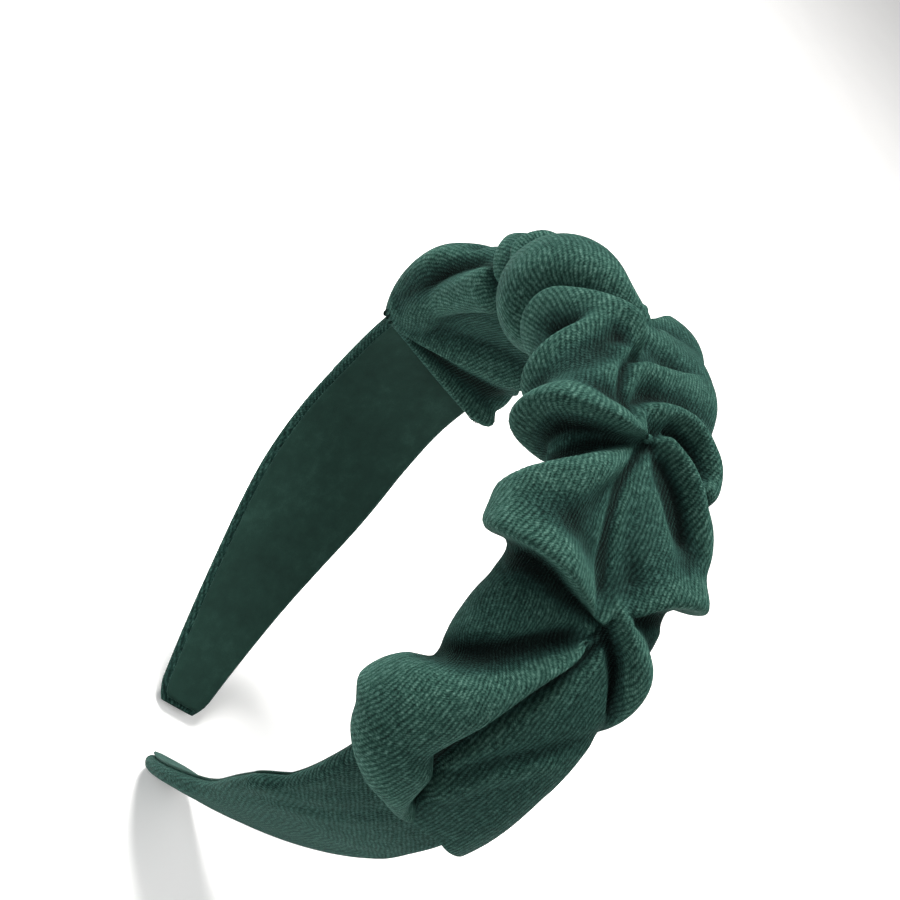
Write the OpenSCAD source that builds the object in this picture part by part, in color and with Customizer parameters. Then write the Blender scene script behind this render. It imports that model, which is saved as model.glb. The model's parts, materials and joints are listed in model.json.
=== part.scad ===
// Ruched headband: a C-shaped spring hoop, padded, wrapped in ribbed knit and lined,
// with a wide knit sleeve gathered over the crown by thread tacks.
// Worn frame: +Z up through the crown, X from ear to ear, Y from front to back.
// The origin is the centre of the crown's inner arc.

/* [Hoop] */
// Inside radius of the crown, at the inner face of the gathered sleeve
head_r = 58.8; // [50:0.1:72]
// Angle from the top of the crown to where each arm begins
crown_angle = 118; // [112:1:120]
// Radius of each arm's arc, at the lining
arm_r = 200; // [150:5:260]
// Angle that each arm's arc turns through
arm_angle = 21; // [12:0.5:21]
// Thickness of the plastic hoop
hoop_t = 1.8; // [1.2:0.1:3]
// Finished width of the wrapped band over the crown
band_w = 33; // [26:0.5:42]
// Finished width of the band at its tips
tip_w = 12; // [10:0.5:13]
// Radius of the rounded end of each tip
tip_end_r = 7.5; // [7:0.5:10]
// Height above the tips at which the band starts to taper
taper_h = 50; // [35:1:60]

/* [Layers] */
// Thickness of the lining ribbon
lining_t = 0.8; // [0.5:0.1:1.5]
// How far the lining's edge stops short of the band's edge
lining_margin = 1; // [0.5:0.1:2]
// Thickness of the knit wrap
wrap_t = 1; // [0.6:0.1:1.6]
// Thickness of the wrap's turned-in edge, pressed under the lining
turn_in_t = 0.6; // [0.4:0.1:1]
// Width of the wrap's turned-in edge
turn_in_w = 3.5; // [2.5:0.5:4]
// Thickness of the foam pad at the top of the crown
pad_t = 3; // [1.5:0.25:6]
// Angle from the top at which the foam pad runs out
pad_angle = 108; // [100:1:110]

/* [Gathered sleeve] */
// Angle from the top of the crown to each end of the sleeve
sleeve_angle = 92; // [90:1:98]
// Thickness of the sleeve's knit where it lies flat
sleeve_t = 1.2; // [0.6:0.1:2]
// How far the pleats stand out beyond each edge of the band
gather_w = 9; // [7:0.5:10]
// How far the pleats stand up above the wrapped pad
gather_h = 7.5; // [5:0.5:10]
// Radius of each rounded pleat
pleat_r = 7; // [6:0.5:7]
// Slant of the pleats, alternately one way and the other
pleat_slant = 12; // [10:1:14]

/* [Tacks] */
// Angle of the tacks either side of the top of the crown
inner_tack = 15.5; // [14:0.5:17]
// Angle of the next tacks
middle_tack = 46.5; // [44:0.5:49]
// Angle of the last tacks, near the ends of the sleeve
outer_tack = 84; // [78:1:86]
// Diameter of the sewing thread
thread_d = 0.8; // [0.5:0.1:1.1]
// Length of thread that shows in a tack
tack_l = 5; // [3:0.5:8]
// Distance from one pass of thread to the next in a tack
thread_pitch = 1.2; // [1.2:0.1:2]

/* [Hidden] */
$fn = 96;

// Distances from the lining's inner face to each layer of the band
hoop_in = lining_t + turn_in_t;
hoop_out = hoop_in + hoop_t;
wrap_out = hoop_out + wrap_t;

lining_r = head_r + sleeve_t;
end_angle = crown_angle + arm_angle;
arm_centre = -(arm_r - lining_r) * [sin(crown_angle), cos(crown_angle)];
// The hoop stops short of the tip by the thickness of the wrap folded over it
hoop_end_angle = end_angle - asin(wrap_t / arm_r);
tip_z = arm_centre[1] + (arm_r + wrap_out) * cos(end_angle);
taper_z = tip_z + taper_h;

// The pad's outer face is one arc that meets the hoop's outer face at pad_angle
pad_base_r = lining_r + hoop_out;
pad_top_r = pad_base_r + pad_t;
pad_shift = pad_t * (2 * pad_base_r + pad_t) / (2 * (pad_top_r - pad_base_r * cos(pad_angle)));
pad_r = pad_top_r - pad_shift;

// Larger than any distance on the part, for the shapes that trim it
reach = 2 * (arm_r + lining_r);
span = 4 * lining_r;

tack_angles = [-outer_tack, -middle_tack, -inner_tack, inner_tack, middle_tack, outer_tack];
tack_passes = [-1, 0, 1];
tack_w = (len(tack_passes) - 1) * thread_pitch + thread_d;

// Distance from the crown's centre, at an angle from the top, to a face that lies
// a height above the pad
function over_pad(angle, height) =
    pad_shift * cos(angle) + sqrt(pow(pad_r + height, 2) - pow(pad_shift * sin(angle), 2));

// A flat sector from one angle to another, measured from the top
module sector(from, to) {
    steps = 6;
    polygon(concat([[0, 0]],
        [for (i = [0:steps]) let (a = from + (to - from) * i / steps) reach * [sin(a), cos(a)]]));
}

// Side view of the space inside a face of the band that lies a distance outside the lining's
// face: the crown's disc, carried on down between the two arms' arcs
module space_inside(distance) {
    crown_r = lining_r + distance;
    circle(r = crown_r);
    intersection() {
        for_both_arms() circle(r = arm_r + distance);
        translate([-span / 2, crown_r * cos(crown_angle) - span]) square([span, span]);
    }
}

// What both arms' shapes have in common, each centred on its own arc
module for_both_arms() {
    intersection() {
        translate(arm_centre) children();
        mirror([1, 0]) translate(arm_centre) children();
    }
}

// Side view of one layer of the band, from distance a to distance b outside the lining's face
module band_profile(a, b, stop = end_angle) {
    difference() {
        space_inside(b);
        space_inside(a);
        tip_cut(stop);
    }
}

// What lies past the square-cut ends of the two arms
module tip_cut(stop) {
    for (side = [0, 1]) {
        mirror([side, 0]) intersection() {
            translate(arm_centre) rotate(-stop) square([reach, 2 * reach]);
            translate([0, -span]) square([span, span]);
        }
    }
}

// Side view of the foam pad, grown outwards by a layer of knit
module pad_profile(grow = 0) {
    intersection() {
        difference() {
            translate([0, pad_shift]) circle(r = pad_r + grow);
            circle(r = pad_base_r);
        }
        sector(-pad_angle, pad_angle);
    }
}

// Front view of the band, cut back by a margin all round
module band_outline(margin) {
    half_w = band_w / 2 - margin;
    half_tip = tip_w / 2 - margin;
    end_r = tip_end_r - margin;
    intersection() {
        polygon([[-half_w, span], [half_w, span], [half_w, taper_z],
            [half_tip, tip_z], [-half_tip, tip_z], [-half_w, taper_z]]);
        union() {
            translate([0, tip_z + margin + end_r]) circle(r = end_r);
            translate([-span / 2, tip_z + margin + end_r]) square([span, 2 * span]);
        }
    }
}

// Stands a side view up in X and Z, and gives it a width along Y
module across(width) {
    rotate([90, 0, 0]) linear_extrude(height = width, center = true) children();
}

// Stands a front view up in Y and Z, and runs it along X
module through() {
    rotate([90, 0, 90]) linear_extrude(height = span, center = true) children();
}

module band_layer(margin) {
    intersection() {
        across(band_w + 2) children();
        through() band_outline(margin);
    }
}

module hoop_solid() {
    band_layer(wrap_t) band_profile(hoop_in, hoop_out, hoop_end_angle);
}

module pad_solid() {
    band_layer(wrap_t) pad_profile();
}

// Everything from the lining's face to the wrap's outer face
module band_solid() {
    band_layer(0) {
        band_profile(0, wrap_out);
        pad_profile(wrap_t);
    }
}

// C-shaped spring strip of moulded plastic
module hoop() {
    color("dimgray") hoop_solid();
}

// Sponge strip glued on the hoop, thickest at the top of the crown
module foam_pad() {
    color("ivory") pad_solid();
}

// Knit wrapped over pad and hoop, its edges turned in under the lining
module knit_wrap() {
    color("darkslategray") difference() {
        band_layer(0) {
            band_profile(lining_t, wrap_out);
            pad_profile(wrap_t);
        }
        hoop_solid();
        pad_solid();
        band_layer(turn_in_w) band_profile(0, hoop_in, hoop_end_angle);
    }
}

// Smooth ribbon glued over the turned-in edges, from tip to tip
module lining() {
    color("darkgreen") band_layer(lining_margin) band_profile(0, lining_t, hoop_end_angle);
}

// One rounded pleat lying across the band at an angle from the top of the crown
module pleat(angle, slant) {
    half_l = band_w / 2 + gather_w - pleat_r;
    rotate([0, angle, 0])
        translate([0, 0, over_pad(angle, wrap_t + gather_h) - pleat_r])
            rotate([90, 0, slant]) {
                cylinder(r = pleat_r, h = 2 * half_l, center = true);
                for (end = [-1, 1]) {
                    translate([0, 0, end * half_l]) sphere(r = pleat_r);
                }
            }
}

// Two pleats fill each gap between neighbouring tacks and lean opposite ways
module pleats() {
    for (i = [0:len(tack_angles) - 2]) {
        gap = tack_angles[i + 1] - tack_angles[i];
        pleat(tack_angles[i] + gap / 4, pleat_slant);
        pleat(tack_angles[i] + 3 * gap / 4, -pleat_slant);
    }
}

// The sleeve's knit where it lies flat round the wrapped band
module flat_sleeve() {
    across(band_w + 2 * sleeve_t) intersection() {
        difference() {
            translate([0, pad_shift]) circle(r = pad_r + wrap_t + sleeve_t);
            circle(r = head_r);
        }
        sector(-sleeve_angle, sleeve_angle);
    }
}

// Wide tube of ribbed knit, slid over the wrapped band and gathered
module gathered_sleeve() {
    color("darkslategray") difference() {
        union() {
            flat_sleeve();
            pleats();
        }
        band_solid();
        rotate([90, 0, 0]) cylinder(r = head_r, h = span, center = true);
        centre_stitches();
        end_stitches();
    }
}

// Thread that lies across the band in the valleys where the pleats are pinched
module centre_stitches() {
    for (angle = tack_angles) {
        rotate([0, angle, 0])
            translate([0, 0, over_pad(angle, wrap_t + sleeve_t)])
                for (pass = tack_passes) {
                    translate([pass * thread_pitch, 0, 0])
                        rotate([90, 0, 0]) cylinder(d = thread_d, h = tack_l, center = true);
                }
    }
}

module centre_tacks() {
    color("black") centre_stitches();
}

// Thread at the four corners of the sleeve, half in its side and half out
module end_stitches() {
    for (side = [-1, 1]) {
        for (edge = [-1, 1]) {
            rotate([0, side * (sleeve_angle - asin(tack_w / lining_r)), 0])
                translate([0, edge * (band_w / 2 + sleeve_t), lining_r + wrap_out / 2])
                    for (pass = tack_passes) {
                        translate([pass * thread_pitch, 0, 0])
                            cylinder(d = thread_d, h = wrap_out / 2, center = true);
                    }
        }
    }
}

module end_tacks() {
    color("black") end_stitches();
}

hoop();
foam_pad();
knit_wrap();
lining();
gathered_sleeve();
centre_tacks();
end_tacks();
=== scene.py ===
import json
import math

import bmesh
import bpy
import numpy as np
from mathutils import Matrix, Vector


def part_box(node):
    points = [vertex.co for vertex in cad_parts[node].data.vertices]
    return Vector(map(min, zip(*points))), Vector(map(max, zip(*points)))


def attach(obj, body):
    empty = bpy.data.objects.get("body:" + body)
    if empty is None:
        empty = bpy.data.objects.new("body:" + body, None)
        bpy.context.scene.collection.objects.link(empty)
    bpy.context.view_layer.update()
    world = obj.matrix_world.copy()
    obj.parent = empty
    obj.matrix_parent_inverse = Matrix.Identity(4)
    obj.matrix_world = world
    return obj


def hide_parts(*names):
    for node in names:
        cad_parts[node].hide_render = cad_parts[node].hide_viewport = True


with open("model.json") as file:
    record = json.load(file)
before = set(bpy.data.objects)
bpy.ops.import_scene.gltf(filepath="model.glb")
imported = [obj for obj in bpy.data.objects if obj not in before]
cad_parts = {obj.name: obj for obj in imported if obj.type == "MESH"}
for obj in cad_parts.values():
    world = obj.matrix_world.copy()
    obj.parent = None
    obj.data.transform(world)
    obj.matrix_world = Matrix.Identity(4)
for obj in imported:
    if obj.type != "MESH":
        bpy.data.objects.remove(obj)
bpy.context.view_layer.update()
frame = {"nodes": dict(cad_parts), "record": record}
MM = 0.001


# ---- Hoop ----------------------------------------------------------------------------------
# A C-shaped spring strip of moulded plastic, hidden by the pad, the wrap and the lining.
# The CAD node is the whole piece; it only needs the satin, slightly flowed look of moulding.

def new_material(name):
    """An empty node material with its shader, ready for a finish to be built on."""
    material = bpy.data.materials.new(name)
    material.use_nodes = True
    nodes = material.node_tree.nodes
    shader = nodes["Principled BSDF"]
    return material, nodes, material.node_tree.links, shader


def ramp(nodes, links, source, stops):
    """A colour ramp fed by a value: stops are (place, colour) pairs."""
    node = nodes.new("ShaderNodeValToRGB")
    elements = node.color_ramp.elements
    while len(elements) < len(stops):
        elements.new(0.5)
    for element, (place, colour) in zip(elements, stops):
        element.position = place
        element.color = (*colour, 1)
    links.new(source, node.inputs["Fac"])
    return node.outputs["Color"]


def noise_of(nodes, links, vector, scale, detail=2.0, roughness=0.5):
    """Noise over a vector, as a value."""
    node = nodes.new("ShaderNodeTexNoise")
    node.inputs["Scale"].default_value = scale
    node.inputs["Detail"].default_value = detail
    node.inputs["Roughness"].default_value = roughness
    links.new(vector, node.inputs["Vector"])
    return node.outputs["Fac"]


def calc(nodes, links, operation, a, b=None, c=None):
    """One step of arithmetic on values; each is a number or another node's output."""
    node = nodes.new("ShaderNodeMath")
    node.operation = operation
    for socket, value in zip(node.inputs, (a, b, c)):
        if value is None:
            continue
        if isinstance(value, (int, float)):
            socket.default_value = value
        else:
            links.new(value, socket)
    return node.outputs["Value"]


def bump_from(nodes, links, height, distance, strength=1.0, under=None):
    """A bump of a height in metres, laid over another one if given."""
    node = nodes.new("ShaderNodeBump")
    node.inputs["Strength"].default_value = strength
    node.inputs["Distance"].default_value = distance
    links.new(height, node.inputs["Height"])
    if under is not None:
        links.new(under, node.inputs["Normal"])
    return node.outputs["Normal"]


def moulded_plastic():
    material, nodes, links, shader = new_material("hoop_plastic")
    place = nodes.new("ShaderNodeTexCoord").outputs["Object"]
    flow = noise_of(nodes, links, place, 60, 4)
    grain = noise_of(nodes, links, place, 2500, 2)
    colour = ramp(nodes, links, flow, [(0.3, (0.012, 0.014, 0.013)), (0.7, (0.022, 0.025, 0.024))])
    links.new(colour, shader.inputs["Base Color"])
    roughness = calc(nodes, links, "MULTIPLY_ADD", grain, 0.2, 0.32)
    links.new(roughness, shader.inputs["Roughness"])
    links.new(bump_from(nodes, links, grain, 0.00004, 0.5), shader.inputs["Normal"])
    return material


hoop = frame["nodes"]["hoop"]
hoop.data.materials.clear()
hoop.data.materials.append(moulded_plastic())


# ---- Foam pad ------------------------------------------------------------------------------
# A strip of sponge glued along the hoop, thickest at the top of the crown, thinning to nothing
# over the ears, with its long edges pressed round by the knit pulled over it.

# Inside radius of the lining over the crown, and each arm's arc, in millimetres and degrees
HEAD_R = frame["record"]["mounts"][0]["dims"]["r_mm"]
SLEEVE_T = 1.2
LINING_R = HEAD_R + SLEEVE_T
CROWN_ANGLE = 118.0
ARM_R = 200.0
ARM_CENTRE_X = -(ARM_R - LINING_R) * math.sin(math.radians(CROWN_ANGLE))
ARM_CENTRE_Z = -(ARM_R - LINING_R) * math.cos(math.radians(CROWN_ANGLE))

# Layers, measured out from the lining's inner face, and the band's full width
HOOP_OUT = 3.2
WRAP_T = 1.0
BAND_W = 33.0
PAD_T = 3.0
PAD_ANGLE = 108.0
PAD_BASE_R = LINING_R + HOOP_OUT
PAD_TOP_R = PAD_BASE_R + PAD_T
PAD_SHIFT = (PAD_T * (2 * PAD_BASE_R + PAD_T)
             / (2 * (PAD_TOP_R - PAD_BASE_R * math.cos(math.radians(PAD_ANGLE)))))
PAD_R = PAD_TOP_R - PAD_SHIFT

# How the real strip differs from a plain one: glued on, thinner than its space, with soft
# corners, and with ends that narrow and thin out quickly
PAD_GLUE_T = 0.02
PAD_LEAST_T = 0.05
PAD_PRESSED = 0.97
PAD_SIDE_GAP = 0.3
PAD_CORNERS = 0.35
PAD_END_W = 0.75
PAD_END_STEEPNESS = 18
SIDE_CORNERS = 0.42


def on_band(angle, y, out):
    """Points on the band in metres: angle round from the top, y across, out from the lining's face."""
    turn = np.radians(np.abs(angle))
    side = np.where(np.asarray(angle) < 0, -1.0, 1.0)
    crown = np.abs(angle) <= CROWN_ANGLE
    radius = np.where(crown, LINING_R, ARM_R) + out
    x = np.where(crown, 0, ARM_CENTRE_X) + radius * np.sin(turn)
    z = np.where(crown, 0, ARM_CENTRE_Z) + radius * np.cos(turn)
    return np.stack([side * x, y + 0 * x, z], -1) * MM


def pad_thickness(angle):
    """How far the pad stands out from the hoop at an angle from the top."""
    turn = np.radians(angle)
    top = PAD_SHIFT * np.cos(turn) + np.sqrt(PAD_R ** 2 - (PAD_SHIFT * np.sin(turn)) ** 2)
    return np.clip(top - PAD_BASE_R, 0, None)


def cut_cloth(name, cells_long, cells_wide):
    """A flat grid of cloth and, for each vertex, its place along (0 to 1) and across (0 to 1)."""
    cloth = bmesh.new()
    bmesh.ops.create_grid(cloth, x_segments=cells_long, y_segments=cells_wide, size=0.5)
    mesh = bpy.data.meshes.new(name)
    cloth.to_mesh(mesh)
    cloth.free()
    piece = bpy.data.objects.new(name, mesh)
    bpy.context.scene.collection.objects.link(piece)
    flat = np.zeros(len(mesh.vertices) * 3)
    mesh.vertices.foreach_get("co", flat)
    flat = flat.reshape(-1, 3) + 0.5
    return piece, flat[:, 0], flat[:, 1]


def lay_out(piece, points, cloth_u, cloth_v):
    """Moves the cloth's vertices to their points and keeps its flat place, in metres, as its UV map."""
    mesh = piece.data
    mesh.vertices.foreach_set("co", points.ravel())
    uv = mesh.uv_layers.new(name="cloth")
    corner = np.zeros(len(mesh.loops), int)
    mesh.loops.foreach_get("vertex_index", corner)
    uv.data.foreach_set("uv", np.stack([cloth_u, cloth_v], -1)[corner].ravel())
    mesh.update()


def close_up(piece, weld=0.00002, capped=False):
    """Welds seams and poles, caps open ends if asked, and turns every face outwards."""
    form = bmesh.new()
    form.from_mesh(piece.data)
    bmesh.ops.remove_doubles(form, verts=form.verts, dist=weld)
    bmesh.ops.dissolve_degenerate(form, edges=form.edges, dist=weld / 2)
    if capped:
        bmesh.ops.holes_fill(form, edges=[edge for edge in form.edges if edge.is_boundary])
    bmesh.ops.recalc_face_normals(form, faces=form.faces)
    for face in form.faces:
        face.smooth = True
    form.to_mesh(piece.data)
    form.free()


def ring_round(across, half_w, low, high, corners):
    """A strip's closed section: across runs once round it from the middle of its inner face.
    Returns y and out. The smaller corners is, the squarer they are."""
    turn = across * 2 * np.pi
    cos_t, sin_t = np.cos(turn), np.sin(turn)
    y = half_w * np.sign(-sin_t) * np.abs(sin_t) ** SIDE_CORNERS
    out = (low + high) / 2 - (high - low) / 2 * np.sign(cos_t) * np.abs(cos_t) ** corners
    return y, out


def mix_colours(nodes, links, factor, a, b, blend="MIX"):
    """Two colours mixed by a value."""
    node = nodes.new("ShaderNodeMix")
    node.data_type = "RGBA"
    node.blend_type = blend
    for socket, value in ((node.inputs[0], factor), (node.inputs[6], a), (node.inputs[7], b)):
        if isinstance(value, (int, float)):
            socket.default_value = value
        elif isinstance(value, tuple):
            socket.default_value = (*value, 1)
        else:
            links.new(value, socket)
    return node.outputs[2]


def open_cell_foam():
    material, nodes, links, shader = new_material("pad_foam")
    place = nodes.new("ShaderNodeTexCoord").outputs["Object"]
    cells = nodes.new("ShaderNodeTexVoronoi")
    cells.inputs["Scale"].default_value = 1400
    links.new(place, cells.inputs["Vector"])
    tone = noise_of(nodes, links, place, 90, 3)
    colour = ramp(nodes, links, cells.outputs["Distance"],
                  [(0.0, (0.35, 0.31, 0.22)), (0.5, (0.78, 0.74, 0.62))])
    aged = ramp(nodes, links, tone, [(0.35, (0.9, 0.86, 0.72)), (0.7, (1.0, 1.0, 1.0))])
    links.new(mix_colours(nodes, links, 1.0, colour, aged, "MULTIPLY"), shader.inputs["Base Color"])
    shader.inputs["Roughness"].default_value = 0.95
    links.new(bump_from(nodes, links, cells.outputs["Distance"], 0.0004, 0.8),
              shader.inputs["Normal"])
    return material


PAD_CELLS_LONG, PAD_CELLS_ROUND = 150, 40
foam_pad, along, round_it = cut_cloth("sponge_pad", PAD_CELLS_LONG, PAD_CELLS_ROUND)
pad_angle = (along * 2 - 1) * (PAD_ANGLE - 1)
end_share = np.clip((1 - np.abs(along * 2 - 1)) * PAD_END_STEEPNESS, 0, 1) ** 0.5
pad_half_w = (BAND_W / 2 - WRAP_T - PAD_SIDE_GAP) * (PAD_END_W + (1 - PAD_END_W) * end_share)
pad_high = HOOP_OUT + np.maximum(pad_thickness(pad_angle), PAD_LEAST_T) * PAD_PRESSED
pad_y, pad_out = ring_round(round_it, pad_half_w, HOOP_OUT, pad_high, PAD_CORNERS)
pad_out = HOOP_OUT + PAD_GLUE_T + (pad_out - HOOP_OUT) * end_share
lay_out(foam_pad, on_band(pad_angle, pad_y, pad_out), along, round_it)
close_up(foam_pad)
foam_pad.data.materials.append(open_cell_foam())
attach(foam_pad, "root")
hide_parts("foam_pad")


# ---- Knit wrap -----------------------------------------------------------------------------
# Ribbed chenille knit cut on the bias, stretched over pad and hoop and glued, with its edges
# turned in under the lining. It shows on the arms below the sleeve.

RIB_PITCH = 0.95
STITCH_PITCH = 0.62
WRAP_CELLS_LONG, WRAP_CELLS_ROUND = 420, 64
WRAP_CLOTH_T = 0.6
WRAP_HALF_CUT = 27
WRAP_OUT = HOOP_OUT + WRAP_T
LINING_T = 0.8
ARM_ANGLE = 21.0
END_ANGLE = CROWN_ANGLE + ARM_ANGLE

# The band's front view: full width, a soft corner, then a straight taper to a round tip
TIP_W = 12.0
TIP_END_R = 7.5
TAPER_H = 50.0
TAPER_CRISPNESS = 12
TIP_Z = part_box("knit_wrap")[0].z / MM
TIP_CROWDING = 0.86

# The wrap's section from its middle to one cut edge: the shares of the way at which its side
# begins and ends, how far in the rounded side starts, and how the outer face is crowned
SIDE_FROM, SIDE_TO = 0.60, 0.84
SIDE_ROUND = 2.2
CROWN_RISE = 0.3
CROWN_DROP = 0.2
TIP_THINNESS = 0.35
TURN_IN_W = 3.5
MOST_TURNED_IN = 0.8

# Its edge wavers, except near the tips, and stands a little proud of the lining
EDGE_SEED, EDGE_WAVES, EDGE_WAVER = 7, 15, 0.4
WRAP_PROUD = 0.4
STILL_HALF_W, WAVER_RUN = 5, 8

# The outer face is dimpled on the arms
DIMPLE_SEED, DIMPLE_WAVES, DIMPLE_SIZE = 3, 11, 0.22
DIMPLE_MEAN = 0.25
DIMPLES_FROM, DIMPLES_RUN = 70, 25

# Where the near arm's front edge is bunched out: middle, half length (degrees) and size (mm)
BUNCHES = [(116.5, 8, 2.8), (133, 7, 3.4)]
BUNCH_REACH = 6


def band_half_width(angle, margin):
    """Half the band's width at an angle from the top, less a margin."""
    z = on_band(angle, 0, WRAP_OUT / 2)[..., 2] / MM
    rise = z - TIP_Z
    share = 1 - np.log1p(np.exp((1 - rise / TAPER_H) * TAPER_CRISPNESS)) / TAPER_CRISPNESS
    straight = TIP_W / 2 + (BAND_W - TIP_W) / 2 * share
    into = np.clip(rise - margin, 0, TIP_END_R)
    round_end = np.sqrt(np.clip(TIP_END_R ** 2 - (TIP_END_R - into) ** 2, 0, None))
    return np.where(rise < TIP_END_R + margin, np.minimum(straight - margin, round_end),
                    straight - margin)


def crowded(along, end):
    """Angles from tip to tip. Rows crowd towards the tips, where the outline turns sharply."""
    centred = along * 2 - 1
    return end * np.sin(centred * np.pi / 2 * TIP_CROWDING) / math.sin(math.pi / 2 * TIP_CROWDING)


def rib_knit(name, bias):
    """Ribbed chenille: rounded wales along the cloth turned by the bias, each a column of soft
    stitches, with pile that varies in tone from near black to dusty green and is darker between the
    wales. Painted shade darkens it in the folds' furrows and a painted highlight lightens it along the
    folds' crests."""
    material, nodes, links, shader = new_material(name)
    cloth = nodes.new("ShaderNodeUVMap")
    cloth.uv_map = "cloth"
    turned = nodes.new("ShaderNodeMapping")
    turned.inputs["Rotation"].default_value = (0, 0, bias)
    links.new(cloth.outputs["UV"], turned.inputs["Vector"])
    place = nodes.new("ShaderNodeTexCoord").outputs["Object"]

    # The yarn wanders a little, so no wale runs dead straight
    wander = nodes.new("ShaderNodeTexNoise")
    wander.inputs["Scale"].default_value = 220
    wander.inputs["Detail"].default_value = 2
    links.new(place, wander.inputs["Vector"])
    drift = nodes.new("ShaderNodeVectorMath")
    drift.operation = "MULTIPLY_ADD"
    drift.inputs[1].default_value = (0.0016, 0.0016, 0)
    links.new(wander.outputs["Color"], drift.inputs[0])
    links.new(turned.outputs["Vector"], drift.inputs[2])
    split = nodes.new("ShaderNodeSeparateXYZ")
    links.new(drift.outputs["Vector"], split.inputs["Vector"])
    run, across = split.outputs["X"], split.outputs["Y"]

    # Rounded wales
    wale_turn = calc(nodes, links, "MULTIPLY", across, 2 * math.pi / (RIB_PITCH * MM))
    wale = calc(nodes, links, "MULTIPLY_ADD", calc(nodes, links, "COSINE", wale_turn), 0.5, 0.5)
    wale = calc(nodes, links, "POWER", wale, 0.75)

    # Slanting stitches down each wale, the lean changing side at the wale's middle
    lean = calc(nodes, links, "ABSOLUTE", calc(nodes, links, "SINE", calc(
        nodes, links, "MULTIPLY", across, math.pi / (RIB_PITCH * MM))))
    stitch_turn = calc(nodes, links, "MULTIPLY_ADD", lean, 2.4, calc(
        nodes, links, "MULTIPLY", run, 2 * math.pi / (STITCH_PITCH * MM)))
    stitch = calc(nodes, links, "MULTIPLY_ADD", calc(nodes, links, "SINE", stitch_turn), 0.5, 0.5)

    fuzz = noise_of(nodes, links, place, 3200, 3, 0.7)
    tufts = noise_of(nodes, links, place, 1100, 2, 0.6)
    patches = noise_of(nodes, links, place, 55, 3, 0.55)

    pile = calc(nodes, links, "MULTIPLY_ADD", stitch, 0.12, calc(
        nodes, links, "MULTIPLY", wale, 0.25))
    pile = calc(nodes, links, "MULTIPLY_ADD", tufts, 0.84, pile)
    pile = calc(nodes, links, "MULTIPLY_ADD", fuzz, 0.66, pile)
    pile = calc(nodes, links, "MULTIPLY", pile, 0.57)
    shade = ramp(nodes, links, pile, [
        (0.34, (0.0012, 0.006, 0.005)),
        (0.49, (0.0055, 0.022, 0.018)),
        (0.60, (0.015, 0.045, 0.037)),
        (0.76, (0.045, 0.105, 0.090))])
    tone = ramp(nodes, links, patches, [(0.3, (0.82, 0.84, 0.84)), (0.7, (1.12, 1.10, 1.08))])
    knit = mix_colours(nodes, links, 1.0, shade, tone, "MULTIPLY")

    # Painted shade and painted highlight: the pile is darkened to near black in the folds' furrows and
    # lightened along the folds' crests, by the sleeve's hollow attribute
    hollow = nodes.new("ShaderNodeAttribute")
    hollow.attribute_name = "hollow"
    depth = calc(nodes, links, "MULTIPLY_ADD", hollow.outputs["Fac"], 0.5, 0.5)
    painted_fold_shade = ramp(nodes, links, depth, [
        (0.0, (0.05, 0.06, 0.07)), (0.36, (0.58, 0.62, 0.64)), (0.54, (1.0, 1.0, 1.0)),
        (0.78, (1.9, 1.65, 1.6))])
    links.new(mix_colours(nodes, links, 1.0, knit, painted_fold_shade, "MULTIPLY"),
              shader.inputs["Base Color"])
    roughness = calc(nodes, links, "MULTIPLY_ADD", fuzz, 0.12, 0.80)
    links.new(roughness, shader.inputs["Roughness"])
    shader.inputs["Specular IOR Level"].default_value = 0.06
    shader.inputs["Sheen Weight"].default_value = 0.12
    shader.inputs["Sheen Roughness"].default_value = 0.45
    shader.inputs["Sheen Tint"].default_value = (0.30, 0.80, 0.66, 1)
    height = calc(nodes, links, "MULTIPLY_ADD", stitch, 0.5, wale)
    ribs = bump_from(nodes, links, height, 0.00022, 0.6)
    soft = bump_from(nodes, links, tufts, 0.0005, 0.5, ribs)
    links.new(bump_from(nodes, links, fuzz, 0.00030, 0.8, soft), shader.inputs["Normal"])
    return material


def soft_waves(t, seed, turns, size):
    """A slow waver along a piece, the same each time for a seed."""
    rng = np.random.default_rng(seed)
    total = 0 * t
    for n in range(1, turns + 1):
        total = total + np.sin(2 * np.pi * (n * t + rng.random())) * rng.uniform(0.4, 1) / n ** 0.5
    return size * total / 2


def wavering(along, half_w, proud):
    """How far an edge stands beyond its true line: proud on the whole, and still at the tips."""
    lively = np.clip(half_w - STILL_HALF_W, 0, WAVER_RUN) / WAVER_RUN
    return (proud + soft_waves(along, EDGE_SEED, EDGE_WAVES, EDGE_WAVER)) * lively


def bunched(y, angle):
    """Lets the front edge of the near arm out where the knit is bunched, above the tip and at it."""
    out = 0 * angle
    for middle, half_l, size in BUNCHES:
        out = out + size * np.clip(1 - ((angle - middle) / half_l) ** 2, 0, 1) ** 1.5
    return y - out * np.clip(-y / BUNCH_REACH, 0, 1)


def wrap_section(across, half_w, low, high, full):
    """The wrap's section: across runs from one turned-in edge (-1), round the outside, to the
    other (1). Returns y and out. The outer face is crowned; full is 1 clear of the tips."""
    q = np.abs(across)
    flat = half_w - SIDE_ROUND * full
    turn = np.clip((q - SIDE_FROM) / (SIDE_TO - SIDE_FROM), 0, 1) * np.pi
    back = np.clip((q - SIDE_TO) / (1 - SIDE_TO), 0, 1)
    y = flat * np.clip(q / SIDE_FROM, 0, 1) + (half_w - flat) * np.sin(turn)
    y = y - back * np.minimum(TURN_IN_W, half_w * MOST_TURNED_IN)
    mid, reach_out = (low + high) / 2, (high - low) / 2
    crown = CROWN_RISE * full * (1 - np.clip(q / SIDE_FROM, 0, 1) ** 2)
    out = mid + reach_out * np.cos(turn) + crown - CROWN_DROP * full * np.cos(turn / 2) ** 2
    out = mid + (out - mid) * (TIP_THINNESS + (1 - TIP_THINNESS) * full)
    return np.sign(across) * np.maximum(y, 0), out


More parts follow.
